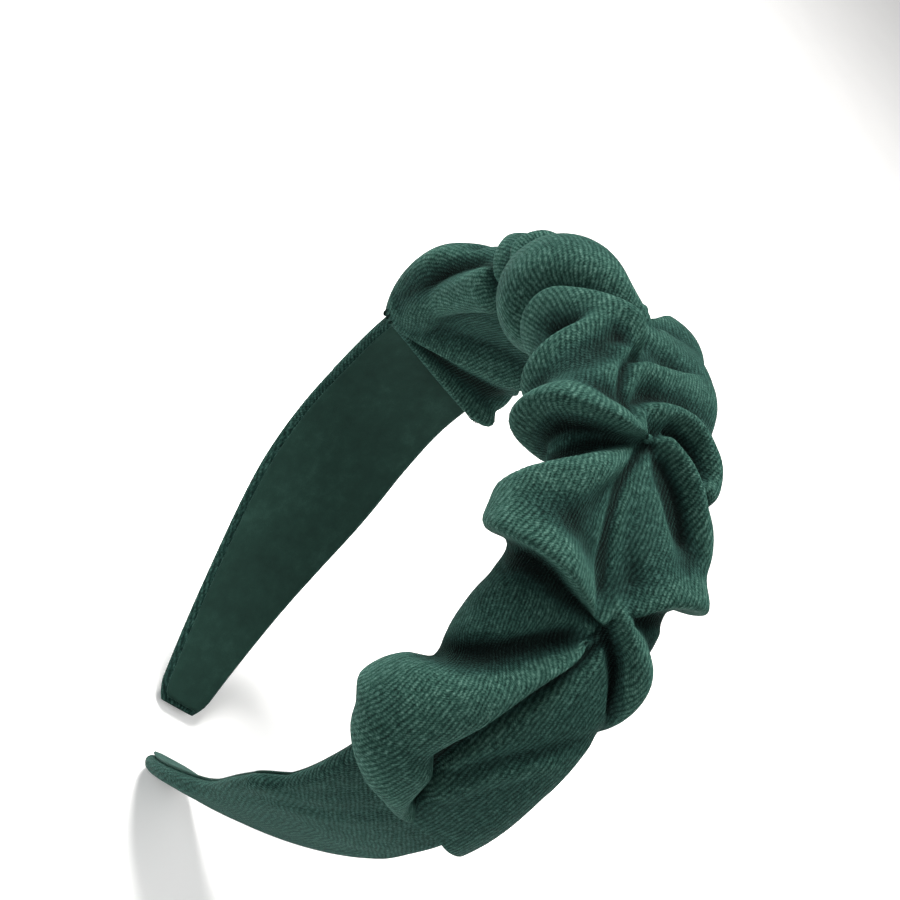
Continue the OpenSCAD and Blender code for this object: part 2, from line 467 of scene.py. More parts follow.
knit_wrap, along, round_it = cut_cloth("bias_wrap", WRAP_CELLS_LONG, WRAP_CELLS_ROUND)
wrap_angle = crowded(along, END_ANGLE - 0.02)
wrap_half_w = band_half_width(wrap_angle, 0)
tip_share = np.clip(wrap_half_w / (TIP_W / 2), 0, 1)
wrap_y, wrap_rise = wrap_section(
    round_it * 2 - 1, wrap_half_w + wavering(along, wrap_half_w, WRAP_PROUD),
    LINING_T, WRAP_OUT + pad_thickness(wrap_angle), tip_share)
dimple = DIMPLE_MEAN + soft_waves(along * 1.7 + round_it * 0.6, DIMPLE_SEED, DIMPLE_WAVES, DIMPLE_SIZE)
on_arm = np.clip((np.abs(wrap_angle) - DIMPLES_FROM) / DIMPLES_RUN, 0, 1)
wrap_rise = wrap_rise + dimple * tip_share * on_arm * (wrap_rise > HOOP_OUT)
cloth_along = np.radians(wrap_angle) * (LINING_R + WRAP_OUT) * MM
cloth_round = (round_it * 2 - 1) * WRAP_HALF_CUT * MM
lay_out(knit_wrap, on_band(wrap_angle, bunched(wrap_y, wrap_angle), wrap_rise),
        cloth_along, cloth_round)
close_up(knit_wrap)
thick = knit_wrap.modifiers.new("cloth", "SOLIDIFY")
thick.thickness = WRAP_CLOTH_T * MM
thick.offset = -1
knit_wrap.data.materials.append(rib_knit("rib_knit_bias", math.radians(-45)))
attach(knit_wrap, "root")
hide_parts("knit_wrap")


# ---- Lining --------------------------------------------------------------------------------
# A ribbon of short-pile velvet glued inside the band from tip to tip, over the wrap's
# turned-in edges. Its edges are rounded, and its nap shades in soft patches.

def short_pile_velvet():
    material, nodes, links, shader = new_material("lining_velvet")
    place = nodes.new("ShaderNodeTexCoord").outputs["Object"]
    nap = noise_of(nodes, links, place, 3200, 2, 0.6)
    cloud = noise_of(nodes, links, place, 70, 4, 0.6)
    brushed = noise_of(nodes, links, place, 320, 3, 0.6)
    mixed = calc(nodes, links, "MULTIPLY_ADD", brushed, 0.35, calc(
        nodes, links, "MULTIPLY_ADD", nap, 0.25, calc(nodes, links, "MULTIPLY", cloud, 0.55)))
    colour = ramp(nodes, links, mixed, [
        (0.35, (0.0045, 0.018, 0.014)), (0.60, (0.008, 0.029, 0.022)), (0.85, (0.017, 0.050, 0.039))])
    links.new(colour, shader.inputs["Base Color"])
    links.new(calc(nodes, links, "MULTIPLY_ADD", nap, 0.15, 0.78), shader.inputs["Roughness"])
    shader.inputs["Specular IOR Level"].default_value = 0.15
    shader.inputs["Sheen Weight"].default_value = 0.18
    shader.inputs["Sheen Roughness"].default_value = 0.35
    shader.inputs["Sheen Tint"].default_value = (0.35, 0.85, 0.72, 1)
    soft = bump_from(nodes, links, cloud, 0.0006, 0.5)
    links.new(bump_from(nodes, links, nap, 0.00008, 0.6, soft), shader.inputs["Normal"])
    return material


LINING_CELLS_LONG, LINING_CELLS_ROUND = 320, 40
LINING_MARGIN = 1.0
LINING_CORNERS = 0.4
lining, along, round_it = cut_cloth("velvet_lining", LINING_CELLS_LONG, LINING_CELLS_ROUND)
lining_angle = crowded(along, END_ANGLE - 0.35)
lining_half_w = band_half_width(lining_angle, LINING_MARGIN)
lining_y, lining_out = ring_round(round_it, lining_half_w + wavering(along, lining_half_w, 0.0),
                                  0.0, LINING_T, LINING_CORNERS)
lining_share = np.clip(lining_half_w / (TIP_W / 2), 0, 1) ** 0.5
lining_out = LINING_T / 2 + (lining_out - LINING_T / 2) * lining_share
lay_out(lining, on_band(lining_angle, bunched(lining_y, lining_angle), lining_out), along, round_it)
close_up(lining, capped=True)
lining.data.materials.append(short_pile_velvet())
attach(lining, "root")
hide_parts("lining")


# ---- Gathered sleeve -----------------------------------------------------------------------
# A wide tube of the same knit slid over the wrapped band, much longer than the stretch it
# covers, and pinched down by tacks along its middle, so that the spare cloth stands up in
# rolls and lobes that lean over each other and droop past the band's edges.

SLEEVE_CELLS_LONG, SLEEVE_CELLS_ROUND = 290, 168
SLEEVE_CLOTH_T = 0.9
SLEEVE_CLEAR = 0.3
MM_PER_DEGREE = 1.17

# The flat sleeve's section: half its width, then how far round from its outer middle the top
# corner begins and ends and the lower corner ends, and that corner's radius
BASE_HALF_W = 18.0
TOP_FLAT = 12.0
TOP_CORNER_END = 21.0
LOW_CORNER_END = 27.0
LOW_CORNER_R = 4
MIDDLE_SHARE = 0.35
HALF_ROUND = LOW_CORNER_END + BASE_HALF_W - LOW_CORNER_R

# How the folds run together, how far a furrow spreads, and how low the cloth may lie
SLACK = 1.0
JOIN_SHARPNESS = 2.0
FOLD_SOFTENING = 2
LEAN_SOFTENING = 3
FURROW_SPREAD = 1.25
LEAST_RISE = 0.15

# Under the band the cloth is pressed flat from here on, except at the far end
FLAT_FROM, FLAT_RUN = 29, 5
LOOSE_BEFORE, LOOSE_RUN = -60, 12
PRESSED_RISE = 0.3

# How far round a place is compared for the painted shade and highlight of its pile, and the depth that
# gets full painted shade
PAINTED_SHADE_REACH = 40
PAINTED_SHADE_DEPTH = 1.9

# How the wales' spacing is evened out over the folded cloth
EVENING_PASSES = 120
STRAIGHTNESS = 3.0

# Each fold is a line of points: angle from the top (degrees), place round the sleeve from its
# outer middle (mm, minus towards the front edge), how high it stands, and how far it spreads
# before and after the line (mm). Then comes the fold's shape: how square its top is, how
# steep its flanks are, and how far its crest leans along and round the sleeve.
FOLDS = {
    "front lobe beside the top": (
        [(7, -13, 2.6, 8, 7), (8, -17, 4.2, 11, 9), (9, -21, 7.4, 12, 10), (10, -24, 7.4, 11, 10),
         (11, -28, 3, 9, 8)], 3, 0.8, 1, 0),
    "its diagonal ridge": (
        [(0, -15.5, 6.8, 2.2, 2.2), (3, -18, 8.0, 2.4, 2.4), (6, -20.5, 9.4, 2.8, 2.6),
         (10, -23, 9.6, 3, 3), (13, -25, 7, 3, 3)], 2, 0.5, 0.5, 0),
    "its upper edge": (
        [(1.5, -9, 6.4, 2, 2.2), (-0.5, -11.5, 8.6, 2.4, 2.8), (-2.5, -15.5, 7.8, 2.0, 5),
         (-4.5, -18.5, 8.4, 2.2, 6), (-7.5, -20.5, 9.4, 2.4, 7), (-6, -24, 9, 2.6, 9),
         (0, -28, 5, 4, 10)], 2, 0.5, -1.5, 0),
    "its overhanging lip": (
        [(14.5, -1, 2.6, 2.0, 1.6), (15, -5, 4.4, 2.6, 1.8), (16.5, -9, 6.2, 3.2, 2.0),
         (18, -13.5, 8.0, 4.2, 2.2), (18, -17, 9.6, 4.8, 2.6), (17.5, -20, 10.8, 5.4, 3.0),
         (19, -23, 9.8, 5.4, 3.2), (20, -26, 5, 5, 3.2)], 2, 0.5, 3.5, 0),
    "big front roll over the crown": (
        [(-11, -4, 4.6, 8, 3.4), (-12.5, -9, 6.0, 10, 4), (-15, -14, 7.8, 13, 5),
         (-18, -19, 10.2, 15, 6), (-19.5, -23, 11.4, 16, 9), (-18, -27, 10, 16, 12),
         (-15, -32, 5, 14, 13)], 2, 0.55, 1, 0),
    "back roll over the crown": (
        [(-24, 5, 3.8, 12, 9), (-23, 10, 5.0, 14, 12), (-22, 15, 6.2, 15, 13),
         (-21, 19, 6.6, 15, 13), (-20, 23, 4.4, 13, 12)], 1.7, 0.9, 0, 0),
    "back of the crown": (
        [(-8, -5, 3.2, 5, 5), (-8, 0, 4.2, 7, 6), (-8, 6, 4.4, 9, 8), (-9, 12, 4.2, 12, 10),
         (-10, 17, 3.6, 13, 11), (-10, 22, 2.0, 12, 10)], 3, 0.8, 0, 0),
    "back panel below the crown": (
        [(4, -11, 3.2, 1.8, 4), (5, -8, 4.6, 1.8, 4.5), (3.5, -2, 5.4, 1.8, 5),
         (1, 4, 5.2, 2.0, 6), (-2, 9, 4.8, 2.6, 8), (-4, 14, 4.0, 4, 9), (-4, 18, 2.8, 6, 10)],
        2, 0.55, -1, 0),
    "curled back lobe": (
        [(16.5, -8.5, 3.0, 1.6, 1.6), (14.5, -8, 4.8, 2, 2), (12.5, -5.5, 5.8, 2.4, 2.2),
         (10.5, -0.5, 6.2, 2.8, 2.4), (9.5, 5, 6.4, 3, 2.4), (10, 9, 5.8, 3, 2.4),
         (12, 12, 5.4, 2.8, 2.6), (15, 13.5, 5.0, 2.6, 3), (18, 13.5, 4.2, 2.6, 3)], 2, 0.5, 0.5, 0),
    "second back ridge": (
        [(16, -3.5, 3.0, 1.6, 1.6), (15, -1, 4.6, 1.8, 1.8), (16.5, 1.5, 5.8, 2, 1.8),
         (18, 5, 6.4, 2.2, 1.8), (20.5, 8.5, 6.4, 2.4, 2.0), (24, 11.5, 6.2, 2.6, 2.2),
         (28, 14, 5.6, 3, 2.8), (32, 16.5, 4.6, 4, 4)], 2, 0.5, 0, 0),
    "back panel at the shoulder": (
        [(27, 2, 2.2, 5, 6), (31, 5, 3.4, 7, 8), (34, 9, 4.0, 8, 8), (34, 13, 4.4, 9, 8),
         (32, 17, 3.6, 9, 8)], 3, 0.8, 0, 0),
    "back lobe above the second tack": (
        [(42.5, 6, 3.0, 4, 1.8), (40, 8.5, 4.6, 5, 1.8), (38, 11, 5.8, 5.5, 2.0),
         (36, 13.5, 7.2, 5, 2.2), (34.5, 16, 8.2, 4.8, 2.6), (34, 18.5, 7.2, 4.4, 3),
         (34, 21, 4, 4, 3)], 2, 0.5, 3.0, 0),
    "rolled back lobe": (
        [(43, 4.5, 3.4, 2.4, 3.0), (45, 7.5, 4.6, 2.2, 3.0), (47, 11.5, 5.8, 2.4, 3.2),
         (49.5, 14, 6.0, 2.8, 3.4), (53, 15.5, 5.6, 3.2, 3.4), (57, 17, 4.2, 3.4, 3.4),
         (59.5, 19.5, 2.4, 3.4, 3.4)], 2, 0.5, 0.5, -1.5),
    "lip of the middle front lobe": (
        [(45, 2.5, 3.0, 2.0, 1.5), (44, -1, 4.8, 3, 1.7), (43, -7, 6.4, 3.6, 1.9),
         (41.5, -12, 7.4, 4.2, 2.2), (40.5, -16, 8.8, 5, 2.6), (40.5, -19, 9.8, 5.6, 3.0),
         (39.5, -23, 7, 5.6, 3.6)], 2, 0.5, 4, 0),
    "body of the middle front lobe": (
        [(32, -6, 1.2, 6, 7), (34, -11, 1.8, 7, 8), (36, -16, 3.2, 7, 7), (37, -20, 5.6, 6, 6),
         (37, -24, 4, 5, 5)], 2, 0.9, 1, 0),
    "upper edge of the middle front lobe": (
        [(18, -2.5, 2.6, 1.6, 2.6), (21.5, -7.5, 4.8, 1.8, 3.2), (25.5, -12.5, 6.0, 2.0, 4),
         (30, -16.5, 7.2, 2.4, 5), (34, -19, 8.4, 3.0, 6), (37, -21.5, 8.4, 4, 7)], 2, 0.5, -1.5, 0),
    "front panel below the second tack": (
        [(54, -11, 1.4, 8, 8), (56, -17, 2.0, 9, 9), (57, -22, 2.0, 9, 9)], 3, 1.0, 0, 0),
    "end front lobe": (
        [(48, 1, 2.6, 1.6, 1.4), (54, -2.5, 5.0, 2.4, 2.0), (60, -8, 6.8, 4.2, 2.8),
         (66, -12, 8.2, 6.6, 3.8), (72.5, -16, 10.2, 9.5, 5.2), (80, -17.5, 10.6, 10, 6.0),
         (85, -14, 9.2, 8.5, 4.4), (88.5, -10, 7.6, 5, 2.6), (90.5, -6, 6.2, 3, 2.2),
         (91.5, -2, 4.6, 2.4, 2.2)], 2, 0.5, 0, 3),
    "end back panel": (
        [(51, 9, 1.4, 4, 5), (58, 9, 2.4, 8, 8), (67, 7.5, 3.2, 11, 12), (80, 7, 3.4, 13, 14),
         (92, 11, 3.4, 13, 14), (101, 14, 3.0, 14, 14)], 4, 0.8, 0, 0),
    "far front roll": (
        [(-50, -8, 3.0, 12, 9), (-60, -12, 5.0, 18, 13), (-65, -17, 7.2, 21, 17),
         (-66, -21, 7.0, 21, 18), (-64, -26, 2.4, 16, 16)], 1.9, 0.7, 0, 0),
    "far front inner roll": (
        [(-80, -25, 1.8, 3, 5), (-70, -25, 4.4, 3.5, 5), (-58, -25.5, 6.2, 4, 6),
         (-46, -26.5, 6.4, 4.5, 6)], 2, 0.5, 0, 1),
    "far back roll": (
        [(-50, 8, 3.6, 9, 9), (-56, 12, 5.4, 12, 12), (-60, 16, 5.8, 13, 13),
         (-61, 20, 3.6, 12, 12)], 1.7, 0.9, 0, 0),
    "far back lip": (
        [(-48, 4, 3.4, 4, 1.6), (-54, 8, 5.6, 5, 1.8), (-61, 13, 6.8, 6, 2.0), (-67, 17, 6.6, 6, 2.4),
         (-71, 21, 4, 5, 3)], 2, 0.5, -2.5, 0),
    "back lip beyond the crown": (
        [(-17, 3, 3.0, 1.6, 3), (-22, 8, 4.6, 1.8, 5), (-27, 13, 5.4, 2.0, 6),
         (-31, 17, 5.2, 2.4, 7), (-33, 21, 2.6, 3, 6)], 2, 0.5, -2, 0),
    "front lip beyond the crown": (
        [(-44, -4, 3.0, 1.6, 3), (-40, -9, 5.0, 1.8, 5), (-36, -14, 6.2, 2, 6),
         (-34, -19, 6.4, 2.4, 7)], 2, 0.5, -2, 0),
    "far back lobe": (
        [(-78, 6, 3.0, 7, 7), (-80, 13, 4.6, 8, 8), (-82, 19, 5.0, 8, 8)], 1.7, 0.9, 0, 0),
    "far middle lip": (
        [(-47, -2, 2.4, 2.2, 3), (-45, -7, 3.8, 2.4, 6), (-43, -12, 4.6, 3, 8),
         (-42, -17, 5.4, 4, 9)], 2, 0.5, -2, 0),
    "far middle back lip": (
        [(-47, 2, 2.4, 3, 2.2), (-49, 7, 3.8, 6, 2.6), (-51, 12, 4.6, 8, 3),
         (-53, 18, 5.2, 9, 4)], 2, 0.5, 2, 0),
    "inner fold": (
        [(-81, -25, 2.0, 0.9, 4), (-78.5, -32, 3.6, 0.9, 7), (-75.5, -42, 4.4, 1.0, 9),
         (-72, -54, 4.4, 1.0, 9)], 2, 0.6, -2.2, 0),
    "inner flap": (
        [(-82, -28, 1.6, 1.2, 1.8), (-85, -40, 2.6, 1.4, 2.0), (-87, -50, 3.6, 1.8, 2.6),
         (-87.5, -58, 6.0, 2.6, 3.4)], 2, 0.6, 0, 0),
}

# Furrows are lines of the same kind, pressed in by their depth; a minus depth is a low welt.
FURROWS = {
    "top tack to first tack": [(8, -5, 1.6, 2.6, 2.6), (12, -8, 2.2, 2, 2), (15, -2, 3.0, 2, 2)],
    "hollow under the big roll": [(-4, -6, 3.0, 2.2, 1.6), (-4, -11, 4.2, 2.6, 1.6),
                                  (-7, -15.5, 5.4, 3.0, 1.6), (-11, -19.5, 5.6, 3.0, 1.8),
                                  (-13, -23.5, 3.8, 2.6, 2.2), (-7, -28, 3.0, 2.4, 2.4)],
    "furrow from the top": [(3, -8.5, 3.0, 1.6, 1.6), (6, -11.5, 4.2, 1.6, 1.6),
                            (11, -12, 3.8, 1.6, 1.8), (14, -9.5, 3.2, 1.8, 1.6)],
    "hollow below the diagonal ridge": [(6, -15, 1.6, 2, 3), (11, -18, 1.8, 2.6, 3),
                                        (13, -22, 1.2, 2, 2)],
    "hollow in the curled lobe": [(12.5, 1, 2.6, 1.4, 1.4), (12.5, 5, 4.8, 1.8, 2.0),
                                  (13.5, 8.5, 5.4, 2.0, 2.2), (16, 11, 4.6, 2.0, 2.2)],
    "below the second ridge": [(19, 1.5, 2.6, 1.2, 2.8), (21, 4.5, 3.8, 1.4, 3.8),
                               (23.5, 7.5, 4.0, 1.6, 4.2), (27, 10, 3.4, 1.8, 4.2),
                               (30.5, 12, 1.8, 2, 4)],
    "first tack to second tack": [(18, -2, 3.0, 1.6, 1.6), (25, -7, 4.2, 1.4, 1.4),
                                  (33, -6, 4.0, 1.6, 1.6), (40, -3.5, 3.4, 1.8, 1.8),
                                  (44, 0, 2.6, 1.8, 1.8)],
    "below the upper lip": [(17.5, -2.5, 2.6, 1.0, 2), (20.5, -7, 3.2, 1.2, 3.4),
                            (22.5, -12, 3.6, 1.4, 4.6), (25, -17, 4.4, 1.8, 5.4),
                            (27, -21, 4.4, 2, 6)],
    "below the middle lip": [(46.5, 0, 2.6, 1.0, 2.4), (46, -5, 3.2, 1.0, 3.4),
                             (45.5, -11, 3.4, 1.2, 4), (45, -18, 3.8, 1.4, 5)],
    "under the back lobe": [(43.5, 9.5, 2.8, 1.0, 1.6), (42, 12.5, 4.4, 1.2, 2.0),
                            (40, 16, 4.8, 1.6, 2.6), (37.5, 20, 3.4, 2, 3)],
    "beside the rolled lobe": [(47.5, 3.5, 3.2, 1.3, 1.3), (50, 8, 3.6, 1.4, 1.4),
                               (53.5, 12, 3.2, 1.5, 1.5), (57.5, 15, 2.2, 1.6, 1.6)],
    "above the end lobe": [(48, 3, 3.2, 1.6, 1.4), (52.5, -3.5, 3.8, 2.2, 1.6),
                           (58, -11, 3.8, 2.6, 1.8), (64, -17, 3.4, 2.8, 2.0), (67, -21, 2.6, 3, 2)],
    "beside the end lobe": [(50, 4.5, 2.8, 1.3, 1.4), (57, 1.5, 3.4, 1.5, 1.6),
                            (65, -3.5, 4.0, 1.8, 1.8), (74, -6, 4.4, 2.2, 2.0),
                            (80, -7, 5.4, 2.8, 2.2), (84.5, -6.5, 6.6, 3.2, 2.4),
                            (87, -4.5, 5.4, 2.4, 2.0)],
    "end panel crease": [(82, -4, 0.6, 2, 2), (74, 1, 1.0, 2, 2), (68, 8, 1.0, 2, 2),
                         (62, 15, 0.6, 2, 2)],
    "end panel welt": [(84, 0, -0.5, 2, 2), (76, 4, -0.7, 2, 2), (70, 11, -0.7, 2, 2)],
    "welt on the front lobe": [(19, -21, -0.8, 3, 3), (12, -17, -1.4, 3, 3), (4, -12, -1.2, 3, 3)],
    "far front valley": [(-44, -20, 3.6, 2.6, 2.2), (-54, -22, 4.2, 2.6, 2.2),
                         (-66, -22.5, 3.2, 2.4, 2.0), (-76, -22.5, 1.4, 2, 2)],
    "second line of the big roll": [(-30, -26, 2.4, 1.8, 1.8), (-24, -29, 2.8, 1.8, 1.8),
                                    (-14, -32, 2.2, 1.8, 1.8)],
    "big roll's end": [(-11, -1, 2.0, 2, 2), (-20, 0, 3.0, 2.4, 2.4), (-30, 1, 2.4, 3, 3)],
    "between the inner fold and the flap": [(-81, -31, 2.0, 1.4, 1.2), (-82, -42, 3.4, 2.4, 1.6),
                                            (-81, -50, 4.4, 4, 2.4), (-80, -57, 4.4, 5, 3)],
    "behind the back lip": [(-19, 3, 2.8, 1.6, 1.4), (-25, 8, 3.6, 1.8, 1.6), (-30, 13, 3.6, 2, 1.8),
                            (-35, 18, 3.0, 2.4, 2)],
    "behind the far back lip": [(-45, 4, 2.6, 1.6, 1.6), (-49, 10, 3.4, 1.8, 1.8),
                                (-54, 16, 3.2, 2, 2), (-58, 21, 2, 2, 2)],
    "across the far back": [(-82, 3, 2.6, 1.6, 1.6), (-78, 8, 3.4, 1.8, 1.8), (-75, 13, 3.4, 2, 2),
                            (-74, 18, 2.6, 2, 2)],
    "across the shoulder": [(-45, -3, 2.6, 1.6, 1.6), (-38, -6, 2.8, 1.8, 1.8),
                            (-33, -12, 2.6, 2, 2), (-31, -18, 2.6, 2, 2)],
    "into the far shoulder": [(-48, -4, 2.4, 1.6, 1.6), (-53, -10, 2.4, 1.8, 1.8),
                              (-56, -16, 1.6, 2, 2)],
    "far tack to far tack": [(-46, 0, 3.2, 3, 3), (-60, 1, 2.4, 3, 3), (-84, 0, 2.8, 3, 3)],
}

# Where the sleeve's two hems lie: place round the sleeve, then angle from the top
NEAR_HEM = [(-41, 86), (-30, 83), (-24, 83), (-18, 87), (-12, 91.5), (-6, 93), (2, 92.5), (9, 93),
            (18, 96), (22, 98), (27, 95), (34, 90), (41, 86)]
FAR_HEM = [(-41, -86.5), (-32, -84), (-24, -82), (-16, -84), (-8, -90), (8, -93), (20, -92),
           (24, -91), (28, -89), (34, -88), (41, -86.5)]
CORNER_CUTS = 2


def eased(line):
    """A fold's line with its corners cut, so that it bends smoothly."""
    line = np.array(line, float)
    for _ in range(CORNER_CUTS):
        early = line[:-1] * 0.75 + line[1:] * 0.25
        late = line[:-1] * 0.25 + line[1:] * 0.75
        cut = np.stack([early, late], 1).reshape(-1, line.shape[1])
        line = np.concatenate([line[:1], cut, line[-1:]])
    return line


def along_line(line, s, w):
    """The nearest place on a fold's line to each point, going round the sleeve either way: the
    distance there, which side it lies on, and the line's own values there."""
    best = np.full(s.shape, 1e9)
    side = np.zeros(s.shape)
    values = np.zeros((*s.shape, 3))
    line = eased(line)
    reach = line[:, 3:].max() + 1
    low, high = line[:, 1].min() - reach, line[:, 1].max() + reach
    for lap in (-2 * HALF_ROUND, 0, 2 * HALF_ROUND):
        lapped = w + lap
        if lapped.max() < low or lapped.min() > high:
            continue
        for start, end in zip(line[:-1], line[1:]):
            s0, s1 = start[0] * MM_PER_DEGREE, end[0] * MM_PER_DEGREE
            ds, dw = s1 - s0, end[1] - start[1]
            t = np.clip(((s - s0) * ds + (lapped - start[1]) * dw) / (ds ** 2 + dw ** 2), 0, 1)
            gap_s, gap_w = s - s0 - t * ds, lapped - start[1] - t * dw
            distance = np.hypot(gap_s, gap_w)
            closer = distance < best
            best = np.where(closer, distance, best)
            crossing = np.sign(dw * gap_s - ds * gap_w) * (1 if dw > 0 else -1)
            side = np.where(closer, crossing, side)
            here = start[2:] + t[..., None] * (end[2:] - start[2:])
            values = np.where(closer[..., None], here, values)
    return best, side, values[..., 0], values[..., 1], values[..., 2]


def soften(field, passes):
    """A field over the cloth, evened out a little along it and round it."""
    for _ in range(passes):
        inside = (field[:-2] + 2 * field[1:-1] + field[2:]) / 4
        field = np.concatenate([field[:1], inside, field[-1:]])
        ring = field[:, :-1]
        ring = (np.roll(ring, 1, 1) + 2 * ring + np.roll(ring, -1, 1)) / 4
        field = np.concatenate([ring, ring[:, :1]], 1)
    return field


def fold_field(s, w):
    """How far the cloth stands off, and how far it leans along and round, at each flat place."""
    total = np.exp(JOIN_SHARPNESS * SLACK + 0 * s)
    lean_s, lean_w, weight = 0 * s, 0 * s, 1 + 0 * s
    for line, square, steep, tip_s, tip_w in FOLDS.values():
        distance, side, rise, before, after = along_line(line, s, w)
        t = distance / np.where(side < 0, before, after)
        shape = np.clip(1 - t ** square, 0, 1) ** steep
        height = soften(rise * shape, FOLD_SOFTENING)
        share = np.exp(JOIN_SHARPNESS * height) - 1
        total += share
        lean_s += share * tip_s * shape ** 1.5
        lean_w += share * tip_w * shape ** 1.5
        weight += share
    height = np.log(total) / JOIN_SHARPNESS
    for line in FURROWS.values():
        distance, side, depth, before, after = along_line(line, s, w)
        t = np.clip(distance / (FURROW_SPREAD * np.where(side < 0, before, after)), 0, 1)
        height -= depth * (1 - t) ** 1.5 * (1 + t)
    return height, soften(lean_s / weight, LEAN_SOFTENING), soften(lean_w / weight, LEAN_SOFTENING)


def sleeve_section(w, top):
    """The flat sleeve's section round the band: y, out, and the direction that faces outwards."""
    q = np.abs(w)
    low = -SLEEVE_T
    mid = low + MIDDLE_SHARE * (top - low)
    top_turn = np.clip((q - TOP_FLAT) / (TOP_CORNER_END - TOP_FLAT), 0, 1) * np.pi / 2
    low_turn = np.clip((q - TOP_CORNER_END) / (LOW_CORNER_END - TOP_CORNER_END), 0, 1) * np.pi / 2
    past = np.clip(q - LOW_CORNER_END, 0, None)
    upper = q < TOP_CORNER_END
    y = np.where(upper, np.minimum(q, TOP_FLAT) + (BASE_HALF_W - TOP_FLAT) * np.sin(top_turn),
                 BASE_HALF_W - LOW_CORNER_R * (1 - np.cos(low_turn)) - past)
    out = np.where(upper, mid + (top - mid) * np.cos(top_turn), mid - (mid - low) * np.sin(low_turn))
    face_y = np.where(upper, np.sin(top_turn), np.cos(low_turn))
    face_out = np.where(upper, np.cos(top_turn), -np.sin(low_turn))
    return y * np.sign(w), out, face_y * np.sign(w), face_out


def cloth_of(grid):
    """Where each point of the folded sleeve lies on the flat cloth, so that the wales keep
    their spacing: lengths measured round each row, evened out along the sleeve."""
    step_v = np.linalg.norm(np.diff(grid, axis=1), axis=2)
    step_u = np.linalg.norm(np.diff(grid, axis=0), axis=2)
    v = np.concatenate([np.zeros((grid.shape[0], 1)), np.cumsum(step_v, axis=1)], 1)
    middle = SLEEVE_CELLS_ROUND // 2
    v = v - v[:, middle:middle + 1]
    u = np.concatenate([np.zeros((1, grid.shape[1])), np.cumsum(step_u, axis=0)], 0)
    for _ in range(EVENING_PASSES):
        pull = np.zeros_like(v)
        count = np.zeros_like(v)
        pull[:, 1:] += v[:, :-1] + step_v
        count[:, 1:] += 1
        pull[:, :-1] += v[:, 1:] - step_v
        count[:, :-1] += 1
        pull[1:] += STRAIGHTNESS * v[:-1]
        count[1:] += STRAIGHTNESS
        pull[:-1] += STRAIGHTNESS * v[1:]
        count[:-1] += STRAIGHTNESS
        v = pull / count
    return u, v


sleeve, along, round_it = cut_cloth("ruched_sleeve", SLEEVE_CELLS_LONG, SLEEVE_CELLS_ROUND)
rows = np.lexsort((round_it, along))
shape = (SLEEVE_CELLS_LONG + 1, SLEEVE_CELLS_ROUND + 1)
along = along[rows].reshape(shape)
round_w = (round_it[rows].reshape(shape) * 2 - 1) * HALF_ROUND
near_hem = np.interp(round_w, *zip(*NEAR_HEM))
far_hem = np.interp(round_w, *zip(*FAR_HEM))
sleeve_angle = far_hem + (near_hem - far_hem) * along
rise, lean_s, lean_w = fold_field(sleeve_angle * MM_PER_DEGREE, round_w)
# hollow: how far each place lies below or above the cloth around it, kept to paint shade into the
# furrows and highlights onto the crests
hollow = np.clip((rise - soften(rise, PAINTED_SHADE_REACH)) / PAINTED_SHADE_DEPTH, -1, 1)
rise = np.maximum(rise, LEAST_RISE)
pressed = np.clip((np.abs(round_w) - FLAT_FROM) / FLAT_RUN, 0, 1)
pressed = pressed * np.clip((sleeve_angle - LOOSE_BEFORE) / LOOSE_RUN, 0, 1)
rise = rise * (1 - pressed) + PRESSED_RISE * pressed
top = WRAP_OUT + pad_thickness(sleeve_angle) + SLEEVE_T + SLEEVE_CLEAR
y, out, face_y, face_out = sleeve_section(round_w, top)
y = y + face_y * rise + lean_w * face_out
out = out + face_out * rise - lean_w * face_y
points = on_band(sleeve_angle + lean_s / MM_PER_DEGREE, y, out)
points = soften(points, 1)
cloth_u, cloth_v = cloth_of(points)
in_mesh_order = np.argsort(rows)
lay_out(sleeve, points.reshape(-1, 3)[in_mesh_order], cloth_u.ravel()[in_mesh_order],
        cloth_v.ravel()[in_mesh_order])
# The hollow field is stored for the knit's painted fold shade and crest highlights
shade = sleeve.data.attributes.new("hollow", "FLOAT", "POINT")
shade.data.foreach_set("value", hollow.ravel()[in_mesh_order])
close_up(sleeve)
thick = sleeve.modifiers.new("cloth", "SOLIDIFY")
thick.thickness = SLEEVE_CLOTH_T * MM
thick.offset = -1
sleeve.data.materials.append(rib_knit("rib_knit_straight", 0.0))
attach(sleeve, "root")
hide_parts("gathered_sleeve")


# ---- Centre tacks --------------------------------------------------------------------------
# Three passes of dark two-ply sewing thread at each of six places near the middle of the
# sleeve, laid across the furrow where the folds are pinched to the band.

THREAD_R = 0.16
THREAD_SIDES = 8
THREAD_STEPS = 24
THREAD_PITCH = 0.96
PLY_TWIST = 0.9
THREAD_LIFT = 0.05
TACK_PASSES = (-1, 0, 1)
TACK_HALF_L = 1.8
TACK_POINTS = 7
TACKS = [(-84, 0), (-46.5, 0), (-15.5, 0), (15.5, -4), (46.5, 3), (84, -6.5)]


def sewing_thread():
    material, nodes, links, shader = new_material("thread")
    place = nodes.new("ShaderNodeTexCoord").outputs["Object"]
    fibre = noise_of(nodes, links, place, 5000, 3, 0.7)
    colour = ramp(nodes, links, fibre, [(0.3, (0.002, 0.009, 0.007)), (0.7, (0.007, 0.026, 0.021))])
    links.new(colour, shader.inputs["Base Color"])
    links.new(calc(nodes, links, "MULTIPLY_ADD", fibre, 0.2, 0.65), shader.inputs["Roughness"])
    shader.inputs["Specular IOR Level"].default_value = 0.05
    links.new(bump_from(nodes, links, fibre, 0.00005, 0.6), shader.inputs["Normal"])
    return material


